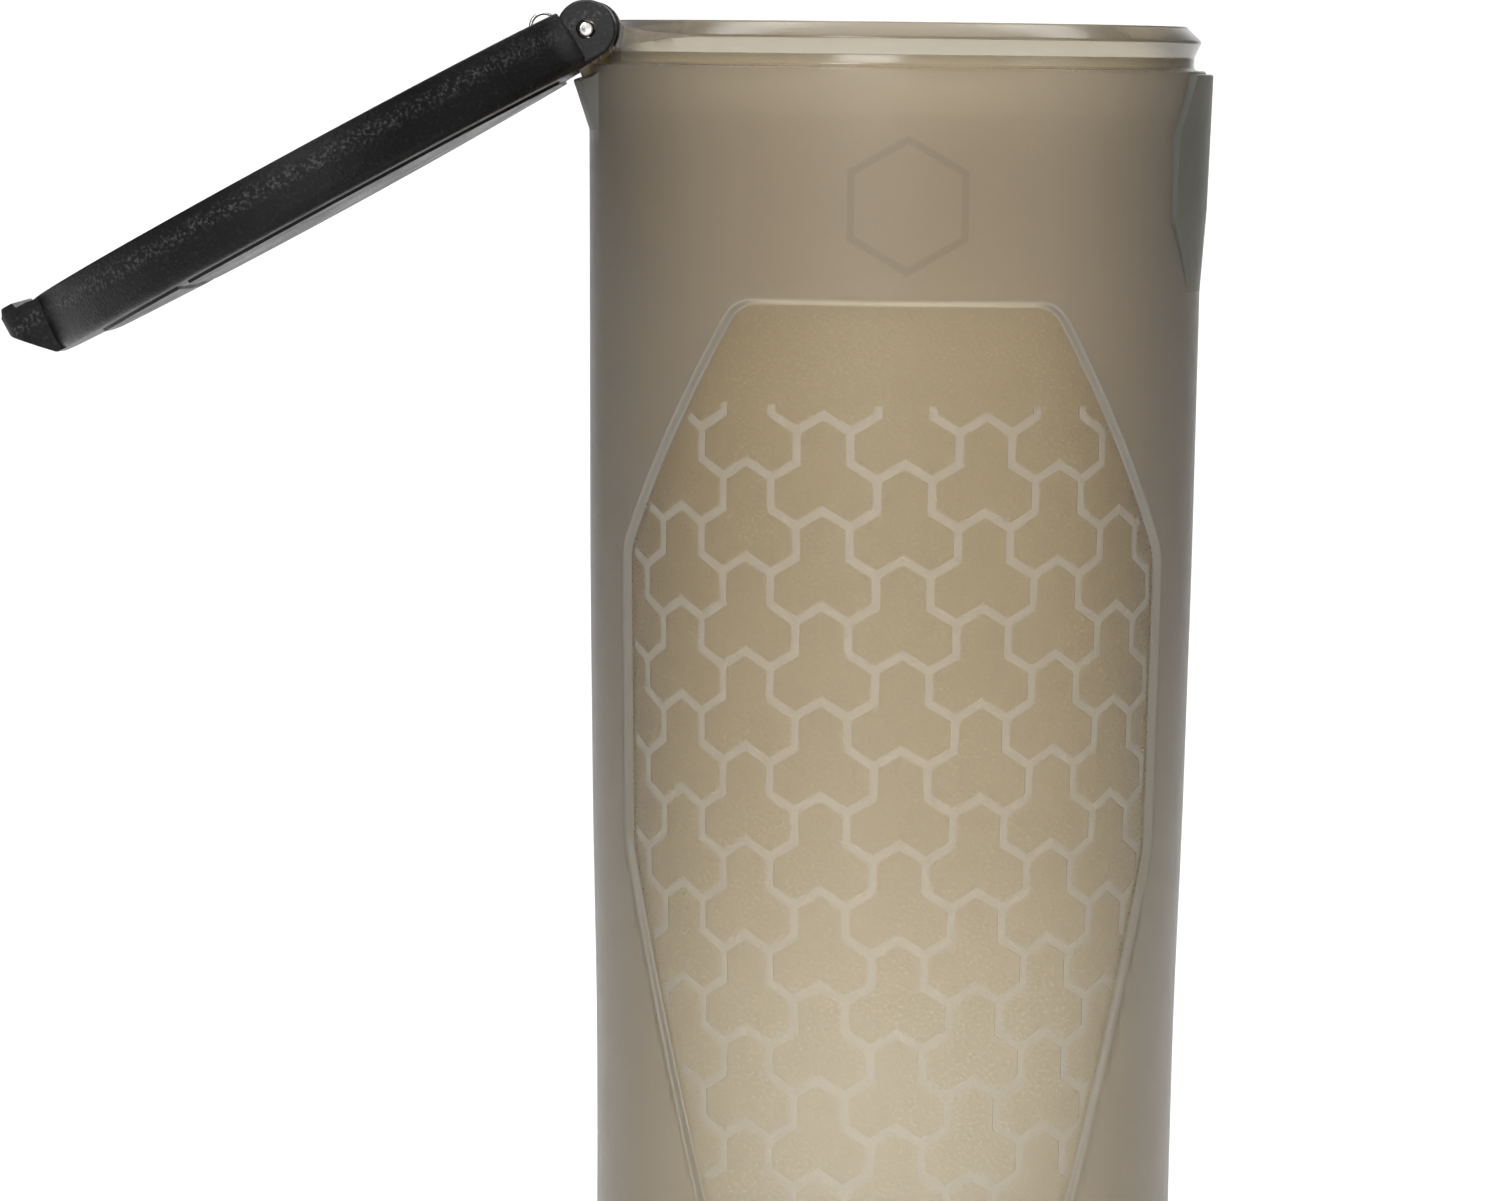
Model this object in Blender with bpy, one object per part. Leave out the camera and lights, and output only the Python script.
# Flip-lid storage pod: a translucent body, a sprung black lid, its hinge pin and its torsion spring.
# Metres, +Z up. The base rests on z = 0 around the +Z body axis, the hinge is at -X, the latch at +X.
# The lid is modelled shut, about its hinge axis, and then swung to its open stop.
import math

import bmesh
import bpy
from mathutils import Matrix, Vector

# Body
body_height = 0.1950        # base to rim top
body_radius = 0.0366        # outside, at the shoulder
grip_in = 0.0024            # how much narrower the grip is than the shoulder
grip_wall = 0.0020
floor_thickness = 0.0024
base_fillet = 0.0030
lip_wall = 0.0008           # wall at the very top of the rim

# Neck, measured down from the rim top and in from the shoulder
neck_height = 0.0052
rim_in = 0.0022
bead_in = 0.0006
bead_drop = 0.0018
waist_in = 0.0014
waist_drop = 0.0037

# Grip panels, one in front and one behind; angles are half-widths round the body
panel_depth = 0.0008
panel_top_drop = 0.0322
panel_widest_drop = 0.0615
panel_taper_drop = 0.0964
panel_bottom = 0.0340       # height above the base
panel_top_angle = math.radians(30.8)
panel_side_angle = math.radians(60.9)
panel_bottom_angle = math.radians(26.5)
panel_corner = 0.0045

# Hinge
pin_radius = 0.00090
pin_drop = 0.00115          # pin axis below the rim top
knuckle_radius = 0.00347
knuckle_gap = 0.00048       # between a knuckle and the scoop in the neck
scoop_wall = 0.00120
hinge_half_width = 0.0134   # out to the end faces of the lid's knuckles
lug_outer = 0.0072
lug_inner = 0.0040
lug_radius = 0.00270
side_gap = 0.00030          # between a lug and a knuckle
lug_bore_clearance = 0.00010
knuckle_bore_clearance = 0.00025
gusset_out = 0.00180        # how far the gusset stands out from the shoulder
gusset_half_width = 0.0100
gusset_height = 0.0068

# Latch pad on the side opposite the hinge
pad_out = 0.00090
pad_top_half_width = 0.0130
pad_half_width = 0.0178
pad_tip_half_width = 0.0080
pad_height = 0.0290

# Lid, about the hinge axis, shut
open_angle = math.radians(209.15)
skirt_below = 0.00330       # skirt edge below the hinge axis
skirt_clearance = 0.00040   # between the bead and the skirt
skirt_wall = 0.00100
swing_gap = 0.00020         # between the neck and the skirt as it swings past
plate_edge_above = 0.00375  # outer face at the plate's edge, above the hinge axis
plate_dome = 0.00070
plate_wall = 0.00180
plate_fillet = 0.00120
neck_slope_end = 0.00610    # where the outer face stops sloping down to the knuckles
notch_end = 0.00360         # the plate starts here between the knuckles
nose_out = 0.00310          # how far the nose stands out from the skirt
nose_chamfer = 0.00430
nose_half_width = 0.0110
hook_depth = 0.00070
hook_width = 0.00150
catch_proud = 0.00020
raised_height = 0.00035
raised_inset = 0.0040
raised_split = 0.01730      # the gap between the raised pads starts this far past the body axis
raised_gap = 0.00130
raised_front_inset = 0.0074 # the front pad ends this far in from the plate's rim
raised_back_lap = 0.0004    # the back pad starts this far before the end of the neck slope

# Torsion spring, coiled on the pin between the lugs
wire_radius = 0.000225
coil_clearance = 0.000175   # between the pin and the coil
coil_half_length = 0.0030
coil_turns = 8
eye_radius = 0.001625
eye_reach = 0.00466         # eye centre from the hinge axis, along the lid
body_leg_depth = 0.0019     # how far the lower leg enters the shoulder
rest_length = 0.0024
rest_half_width = 0.0005
touch_gap = 0.00030         # between pieces that touch

# Facets
round_steps = 96
hinge_steps = 40
arc_points = 5

# Worked out
rim_radius = body_radius - rim_in
bead_radius = body_radius - bead_in
waist_radius = body_radius - waist_in
grip_radius = body_radius - grip_in
bore_radius = rim_radius - lip_wall
floor_radius = grip_radius - grip_wall
shoulder_z = body_height - neck_height
pin_x = -body_radius
pin_z = body_height - pin_drop
scoop_radius = knuckle_radius + knuckle_gap
coil_radius = pin_radius + coil_clearance + wire_radius     # to the middle of the wire
leg_y = coil_half_length
slot_half_width = rest_half_width + touch_gap
eye_sweep = math.hypot(eye_reach, coil_radius + eye_radius) + eye_radius + wire_radius + touch_gap
skirt_inner = bead_radius + skirt_clearance
lid_radius = skirt_inner + skirt_wall
lid_axis = -pin_x           # body axis seen from the hinge axis
ceiling = plate_edge_above - plate_wall


def new_object(name, bm):
    bmesh.ops.recalc_face_normals(bm, faces=bm.faces)
    mesh = bpy.data.meshes.new(name)
    bm.to_mesh(mesh)
    bm.free()
    obj = bpy.data.objects.new(name, mesh)
    bpy.context.scene.collection.objects.link(obj)
    return obj


def lathe(name, outline, centre_x=0.0, axis="Z", steps=round_steps):
    """Turns an outline of (radius, height) points about an axis through centre_x."""
    bm = bmesh.new()
    if axis == "Z":
        points = [Vector((centre_x + r, 0, h)) for r, h in outline]
        direction = Vector((0, 0, 1))
    else:
        points = [Vector((centre_x + r, h, 0)) for r, h in outline]
        direction = Vector((0, 1, 0))
    verts = [bm.verts.new(p) for p in points]
    edges = [bm.edges.new((a, b)) for a, b in zip(verts, verts[1:] + verts[:1])]
    axis_edges = [e for e in edges if all(abs(v.co.x - centre_x) < 1e-9 for v in e.verts)]
    for edge in axis_edges:
        bm.edges.remove(edge)
        edges.remove(edge)
    bmesh.ops.spin(bm, geom=verts + edges, cent=(centre_x, 0, 0), axis=direction,
                   angle=2 * math.pi, steps=steps, use_merge=True)
    bmesh.ops.remove_doubles(bm, verts=bm.verts, dist=1e-7)
    return new_object(name, bm)


def prism(name, outline, axis, low, high):
    """Extrudes an outline along X, Y or Z: (y, z), (x, z) or (x, y) points."""
    places = {
        "X": lambda a, b: Vector((low, a, b)),
        "Y": lambda a, b: Vector((a, low, b)),
        "Z": lambda a, b: Vector((a, b, low)),
    }
    shift = {"X": (1, 0, 0), "Y": (0, 1, 0), "Z": (0, 0, 1)}[axis]
    bm = bmesh.new()
    face = bm.faces.new([bm.verts.new(places[axis](a, b)) for a, b in outline])
    made = bmesh.ops.extrude_face_region(bm, geom=[face])["geom"]
    verts = [v for v in made if isinstance(v, bmesh.types.BMVert)]
    bmesh.ops.translate(bm, verts=verts, vec=Vector(shift) * (high - low))
    return new_object(name, bm)


def box(name, x, y, z):
    return prism(name, [(x[0], z[0]), (x[1], z[0]), (x[1], z[1]), (x[0], z[1])], "Y", *y)


def rod(name, centre_x, centre_z, radius, y, steps=hinge_steps):
    """A round bar along Y."""
    return prism(name, arc(centre_x, centre_z, radius, 0, 360, steps)[:-1], "Y", *y)


def arc(centre_a, centre_b, radius, start, end, steps=arc_points):
    """Points from start to end, in degrees, both included."""
    angles = [math.radians(start + (end - start) * i / steps) for i in range(steps + 1)]
    return [(centre_a + radius * math.cos(t), centre_b + radius * math.sin(t)) for t in angles]


def boolean(obj, tool, operation):
    step = obj.modifiers.new(tool.name, "BOOLEAN")
    step.operation = operation
    step.object = tool
    step.solver = "EXACT"
    tool.hide_render = True
    tool.display_type = "WIRE"
    tool.parent = obj
    return obj


def join(obj, tool):
    return boolean(obj, tool, "UNION")


def cut(obj, tool):
    return boolean(obj, tool, "DIFFERENCE")


def keep(obj, tool):
    return boolean(obj, tool, "INTERSECT")


def plastic(name, colour, roughness, alpha=1.0):
    material = bpy.data.materials.new(name)
    material.use_nodes = True
    shader = material.node_tree.nodes["Principled BSDF"]
    shader.inputs["Base Color"].default_value = (*colour, 1)
    shader.inputs["Roughness"].default_value = roughness
    shader.inputs["Alpha"].default_value = alpha
    return material


def steel(name):
    material = plastic(name, (0.72, 0.71, 0.69), 0.28)
    material.node_tree.nodes["Principled BSDF"].inputs["Metallic"].default_value = 1.0
    return material


def finish(obj, material):
    obj.data.materials.append(material)
    obj.data.shade_smooth()
    obj.data.set_sharp_from_angle(angle=math.radians(30))


def side_levels():
    """(radius, height) of the body's outside, from the shoulder down to the base fillet."""
    return [
        (body_radius, shoulder_z - 0.0003),
        (body_radius - 0.00015, body_height - 0.0150),
        (body_radius - 0.00075, body_height - 0.0640),
        (body_radius - 0.00140, body_height - 0.0950),
        (grip_radius + 0.00030, body_height - 0.1170),
        (grip_radius, body_height - 0.1390),
        (grip_radius, base_fillet),
    ]


def side_radius(z):
    levels = side_levels()
    for (upper_r, upper_z), (lower_r, lower_z) in zip(levels, levels[1:]):
        if z >= lower_z:
            return lower_r + (upper_r - lower_r) * (z - lower_z) / (upper_z - lower_z)
    return grip_radius


def body_outline():
    rim_break = 0.0002
    neck = [
        (bore_radius, body_height),
        (rim_radius - rim_break, body_height),
        (rim_radius, body_height - rim_break),
        (bead_radius - rim_break, body_height - bead_drop + rim_break),
        (bead_radius, body_height - bead_drop),
        (bead_radius - rim_break / 2, body_height - bead_drop - 2 * rim_break),
        (waist_radius, body_height - waist_drop),
        (waist_radius, body_height - waist_drop - 0.0005),
        (waist_radius + 0.0006, shoulder_z + 0.0001),
        (body_radius - 0.0003, shoulder_z),
    ]
    base = arc(grip_radius - base_fillet, base_fillet, base_fillet, 0, -90)[1:] + [(0, 0)]
    inner_fillet = base_fillet - 0.0005
    inside = [(0, floor_thickness)]
    inside += arc(floor_radius - inner_fillet, floor_thickness + inner_fillet, inner_fillet, -90, 0)
    return neck + side_levels() + base + inside


def rounded(corners, radius):
    """The outline with each corner turned into an arc that meets both of its sides."""
    points = []
    for i, corner in enumerate(corners):
        here = Vector(corner)
        back = (Vector(corners[i - 1]) - here).normalized()
        ahead = (Vector(corners[(i + 1) % len(corners)]) - here).normalized()
        half = back.angle(ahead) / 2
        reach = radius / math.tan(half)
        start = here + back * reach
        end = here + ahead * reach
        centre = here + (back + ahead).normalized() * (radius / math.sin(half))
        for k in range(arc_points + 1):
            toward = start.lerp(end, k / arc_points) - centre
            points.append(tuple(centre + toward.normalized() * radius))
    return points


def panel_outline():
    """A coffin shape laid round the body, then seen from the front as (x, z)."""
    top = body_height - panel_top_drop
    widest = body_height - panel_widest_drop
    taper = body_height - panel_taper_drop
    right = [
        (panel_bottom_angle * body_radius, panel_bottom),
        (panel_side_angle * body_radius, taper),
        (panel_side_angle * body_radius, widest),
        (panel_top_angle * body_radius, top),
    ]
    corners = right + [(-s, z) for s, z in reversed(right)]
    around = rounded(corners, panel_corner)
    runs = 6
    points = []
    for (s1, z1), (s2, z2) in zip(around, around[1:] + around[:1]):
        count = runs if math.hypot(s2 - s1, z2 - z1) > 2 * panel_corner else 1
        for k in range(count):
            s = s1 + (s2 - s1) * k / count
            z = z1 + (z2 - z1) * k / count
            points.append((side_radius(z) * math.sin(s / body_radius), z))
    return points


def make_gusset():
    """Carries the hinge: it stands out under the lugs and tapers down into the wall."""
    top = shoulder_z - 0.0018
    outline = [
        (bore_radius + 0.0012, shoulder_z - 0.0008),
        (body_radius - 0.0003, shoulder_z - 0.0008),
        (body_radius + 0.4 * gusset_out, top + 0.0003),
        (body_radius + gusset_out, top),
        (body_radius + gusset_out, top - 0.0004),
        (body_radius - 0.0004, top - gusset_height),
        (bore_radius + 0.0012, top - gusset_height),
    ]
    gusset = lathe("gusset", outline)
    sides = [
        (-gusset_half_width, shoulder_z - 2 * gusset_height),
        (gusset_half_width, shoulder_z - 2 * gusset_height),
        (gusset_half_width, body_height),
        (-gusset_half_width, body_height),
    ]
    return keep(gusset, prism("gusset_sides", sides, "X", -2 * body_radius, 0))


def make_latch_pad():
    top = shoulder_z - 0.0004
    outline = [
        (bore_radius + 0.0012, top),
        (body_radius + pad_out - 0.0003, top),
        (body_radius + pad_out, top - 0.0003),
        (body_radius + 0.4 * pad_out, top - 0.55 * pad_height),
        (body_radius - 0.0006, top - pad_height),
        (bore_radius + 0.0012, top - pad_height),
    ]
    pad = lathe("latch_pad", outline)
    half = [
        (pad_tip_half_width, top - 1.1 * pad_height),
        (pad_half_width, top - 0.6 * pad_height),
        (pad_half_width, top - 0.24 * pad_height),
        (pad_top_half_width, top + 0.0010),
    ]
    outline = half + [(-y, z) for y, z in reversed(half)]
    return keep(pad, prism("latch_pad_sides", outline, "X", 0, 2 * body_radius))


def make_scoop_wall():
    """Backs the scoop that the knuckles turn in, inside the neck."""
    reach = scoop_radius + scoop_wall
    top = body_height - 0.0002
    tilt = math.degrees(math.asin((top - pin_z) / reach))
    outline = arc(pin_x, pin_z, reach, -90, tilt, 12) + [(pin_x, top)]
    half = hinge_half_width + side_gap + scoop_wall
    wall = prism("scoop_wall", outline, "Y", -half, half)
    inside = [(0, body_height + 0.001), (rim_radius - 0.0003, body_height + 0.001),
              (rim_radius - 0.0003, shoulder_z - 0.002), (0, shoulder_z - 0.002)]
    return keep(wall, lathe("scoop_wall_limit", inside))


def make_lug(name, y):
    foot = shoulder_z - 0.0026
    outline = arc(pin_x, pin_z, lug_radius, 0, 215, 18)
    outline += [(pin_x - 0.0002, foot), (pin_x + lug_radius, foot)]
    return prism(name, outline, "Y", *y)


def make_skirt_relief(name, side):
    """Thins the neck's bead beside the knuckles, where the skirt's lower inner edge swings past."""
    start = hinge_half_width - side_gap
    end = 0.83 * skirt_inner
    count = 24
    edge = []
    for k in range(count + 1):
        y = start + (end - start) * k / count
        reach = lid_axis - math.sqrt(skirt_inner ** 2 - y ** 2)
        edge.append((math.hypot(reach, skirt_below) + swing_gap, side * y))
    relief = lathe(name, [(0, side * start)] + edge + [(0, side * end)], axis="Y",
                   steps=2 * hinge_steps)
    limits = box(name + "_limits", (-body_radius, body_radius), (-body_radius, body_radius),
                 (-skirt_below - swing_gap, skirt_below))
    keep(relief, limits)
    relief.location = (pin_x, 0, pin_z)
    return relief


def make_body():
    body = lathe("pod_body", body_outline())
    join(body, make_gusset())
    join(body, make_latch_pad())
    join(body, make_scoop_wall())
    half = hinge_half_width + side_gap + 0.00005
    cut(body, rod("scoop", pin_x, pin_z, scoop_radius, (-half, half)))
    join(body, make_lug("left_lug", (-lug_outer, -lug_inner)))
    join(body, make_lug("right_lug", (lug_inner, lug_outer)))
    cut(body, rod("lug_bore", pin_x, pin_z, pin_radius + lug_bore_clearance,
                  (-hinge_half_width, hinge_half_width)))
    cut(body, box("eye_slot", (pin_x, pin_x + eye_sweep),
                  (leg_y - slot_half_width, leg_y + slot_half_width),
                  (pin_z - coil_radius - 2 * eye_radius - wire_radius - touch_gap,
                   body_height + 0.001)))
    leg_hole = arc(pin_x + coil_radius, -leg_y, wire_radius + touch_gap, 0, 360, 16)[:-1]
    cut(body, prism("leg_hole", leg_hole, "Z", shoulder_z - body_leg_depth - touch_gap,
                    shoulder_z + 0.001))
    cut(body, make_skirt_relief("left_relief", -1))
    cut(body, make_skirt_relief("right_relief", 1))
    core = [(0, body_height - panel_top_drop + 0.005), (0, panel_bottom - 0.005)]
    core += [(side_radius(panel_bottom - 0.005) - panel_depth, panel_bottom - 0.005)]
    core += [(r - panel_depth, z) for r, z in reversed(side_levels())
             if panel_bottom < z < body_height - panel_top_drop]
    core += [(side_radius(body_height - panel_top_drop + 0.005) - panel_depth,
              body_height - panel_top_drop + 0.005)]
    for name, y in (("front", (-2 * body_radius, 0)), ("back", (0, 2 * body_radius))):
        panel = prism(name + "_panel", panel_outline(), "Y", *y)
        cut(body, cut(panel, lathe(name + "_panel_floor", core)))
    finish(body, plastic("smoke_plastic", (0.50, 0.46, 0.38), 0.25, 0.55))
    return body


def dome_points(lift, edge):
    """The plate's domed outer face from its edge to its middle, as (radius, height)."""
    count = 6
    points = []
    for k in range(count + 1):
        r = edge * (1 - k / count)
        rise = plate_dome * (1 - (r / (lid_radius - plate_fillet)) ** 2)
        points.append((r, plate_edge_above + rise + lift))
    return points


def make_lid_shell():
    edge = lid_radius - plate_fillet
    top = plate_edge_above
    side = arc(edge, top - plate_fillet, plate_fillet, 0, 90)[:-1]
    outline = [(0, -skirt_below), (lid_radius, -skirt_below)] + side + dome_points(0, edge)
    return lathe("lid", outline, lid_axis)


def make_nose():
    """A chamfered finger tab with a latch hook under it."""
    tip = lid_axis + lid_radius + nose_out
    hook_back = tip - hook_width - 0.0007
    outline = [
        (lid_axis + body_radius - nose_chamfer, -skirt_below + 0.0008),
        (lid_axis + skirt_inner + 0.0003, -skirt_below),
        (hook_back - 0.0002, -skirt_below),
        (hook_back, -skirt_below - hook_depth),
        (tip - 0.0007, -skirt_below - hook_depth),
        (tip - 0.0003, -skirt_below),
        (tip, -skirt_below + 0.0003),
        (tip, plate_edge_above - nose_chamfer),
        (tip - nose_chamfer, plate_edge_above - 0.00015),
        (lid_axis + body_radius - nose_chamfer, plate_edge_above - 0.00005),
    ]
    nose = prism("nose", outline, "Y", -nose_half_width, nose_half_width)
    plan = [
        (lid_axis, -nose_half_width * 1.5),
        (tip - 0.0030, -nose_half_width),
        (tip + 0.0010, -nose_half_width + 0.0032),
        (tip + 0.0010, nose_half_width - 0.0032),
        (tip - 0.0030, nose_half_width),
        (lid_axis, nose_half_width * 1.5),
    ]
    return keep(nose, prism("nose_plan", plan, "Z", -0.02, 0.02))


def make_knuckle_block():
    """The knuckles and the web that carries them from the plate, before the notch."""
    end = neck_slope_end
    outline = arc(0, 0, knuckle_radius, 84, 300, 24)
    outline += arc(0, 0, knuckle_radius, 300, 376, 8)[1:]
    outline += [(0.0040, ceiling), (end + 0.0010, ceiling + 0.0003), (end + 0.0010, plate_edge_above)]
    return prism("knuckle_block", outline, "Y", -hinge_half_width, hinge_half_width)


def make_lid_interior():
    """The hollow under the plate, kept clear of the knuckles."""
    fillet = 0.0008
    outline = [(0, -0.0200), (skirt_inner, -0.0200)]
    outline += arc(skirt_inner - fillet, ceiling - fillet, fillet, 0, 90)
    outline += [(0, ceiling)]
    hollow = lathe("lid_interior", outline, lid_axis)
    join(hollow, box("skirt_end", (0, knuckle_radius + skirt_wall),
                     (-hinge_half_width, hinge_half_width), (-0.0200, ceiling - fillet)))
    half = hinge_half_width + 0.0001
    return cut(hollow, rod("knuckle_clear", 0, 0, knuckle_radius - 0.0001, (-half, half)))


def make_raised(name, start, end):
    """A plain raised pad on the plate, between two distances past the body axis."""
    edge = lid_radius - raised_inset
    outline = [(0, plate_edge_above - 0.0005), (edge, plate_edge_above - 0.0005)]
    outline += dome_points(raised_height, edge)
    pad = lathe(name, outline, lid_axis)
    limits = ((lid_axis + start, lid_axis + end), (-2 * edge, 2 * edge), (-0.01, 0.02))
    return keep(pad, box(name + "_limits", *limits))


def make_catch():
    """A low ridge inside the skirt, under the nose, that sits below the bead."""
    outline = [
        (skirt_inner + 0.0003, -skirt_below + 0.0002),
        (skirt_inner - catch_proud, -skirt_below + 0.0005),
        (skirt_inner - catch_proud, -skirt_below + 0.0009),
        (skirt_inner + 0.0003, -skirt_below + 0.0013),
    ]
    ridge = lathe("catch", outline, lid_axis)
    half = nose_half_width * 0.8
    return keep(ridge, box("catch_limits", (lid_axis, 3 * lid_axis), (-half, half), (-0.02, 0.02)))


def make_lid():
    lid = make_lid_shell()
    join(lid, make_nose())
    slope = [(-0.02, knuckle_radius - 0.00001), (0, knuckle_radius - 0.00001),
             (neck_slope_end, plate_edge_above + 0.0003), (neck_slope_end, 0.02), (-0.02, 0.02)]
    cut(lid, prism("neck_slope", slope, "Y", -2 * body_radius, 2 * body_radius))
    back = [(-0.02, -0.02), (0, -0.02), (0, 0.02), (-0.02, 0.02)]
    cut(lid, prism("back_cut", back, "Y", -2 * body_radius, 2 * body_radius))
    cut(lid, make_lid_interior())
    join(lid, make_knuckle_block())
    notch_half = lug_outer + side_gap
    cut(lid, box("lug_notch", (-0.02, notch_end), (-notch_half, notch_half), (-0.02, 0.02)))
    rest_top = ceiling + 0.0004
    rest_low = -coil_radius + wire_radius + touch_gap
    rest_start = notch_end + 0.0003
    join(lid, box("spring_rest", (rest_start, rest_start + rest_length),
                  (leg_y - rest_half_width, leg_y + rest_half_width), (rest_low, rest_top)))
    join(lid, make_raised("raised_back", neck_slope_end - raised_back_lap - lid_axis, raised_split))
    join(lid, make_raised("raised_front", raised_split + raised_gap, lid_radius - raised_front_inset))
    join(lid, make_catch())
    cut(lid, rod("knuckle_bore", 0, 0, pin_radius + knuckle_bore_clearance,
                 (-2 * hinge_half_width, 2 * hinge_half_width)))
    lid.location = (pin_x, 0, pin_z)
    lid.rotation_euler = (0, -open_angle, 0)
    finish(lid, plastic("black_plastic", (0.03, 0.03, 0.032), 0.45))
    return lid


def make_pin():
    end = hinge_half_width - 0.0002
    chamfer = 0.0002
    outline = [(0, -end), (pin_radius - chamfer, -end), (pin_radius, -end + chamfer),
               (pin_radius, end - chamfer), (pin_radius - chamfer, end), (0, end)]
    pin = lathe("hinge_pin", outline, axis="Y", steps=hinge_steps)
    pin.location = (pin_x, 0, pin_z)
    finish(pin, steel("pin_steel"))
    return pin


def spring_points():
    """The wire's middle line about the hinge axis: lower leg, coil, leg along the lid, eye."""
    per_turn = 14
    points = [Vector((coil_radius, -leg_y, shoulder_z - body_leg_depth - pin_z))]
    end_angle = 2 * math.pi * coil_turns + open_angle - math.pi / 2
    count = round(per_turn * end_angle / (2 * math.pi))
    for k in range(count + 1):
        angle = end_angle * k / count
        y = -leg_y + 2 * leg_y * k / count
        points.append(Vector((coil_radius * math.cos(angle), y, coil_radius * math.sin(angle))))
    turn = Matrix.Rotation(-open_angle, 3, "Y")
    for k in range(12):
        angle = math.radians(300) * k / 11
        along = eye_reach + eye_radius * math.sin(angle)
        across = -coil_radius - eye_radius + eye_radius * math.cos(angle)
        points.append(turn @ Vector((along, leg_y, across)))
    return points


def make_spring():
    curve = bpy.data.curves.new("torsion_spring", "CURVE")
    curve.dimensions = "3D"
    curve.bevel_depth = wire_radius
    curve.bevel_resolution = 1
    curve.use_fill_caps = True
    points = spring_points()
    spline = curve.splines.new("POLY")
    spline.points.add(len(points) - 1)
    for place, point in zip(spline.points, points):
        place.co = (*point, 1)
    spring = bpy.data.objects.new("torsion_spring", curve)
    bpy.context.scene.collection.objects.link(spring)
    spring.location = (pin_x, 0, pin_z)
    curve.materials.append(steel("spring_steel"))
    return spring


for old in list(bpy.data.objects):
    bpy.data.objects.remove(old, do_unlink=True)

make_body()
make_lid()
make_pin()
make_spring()
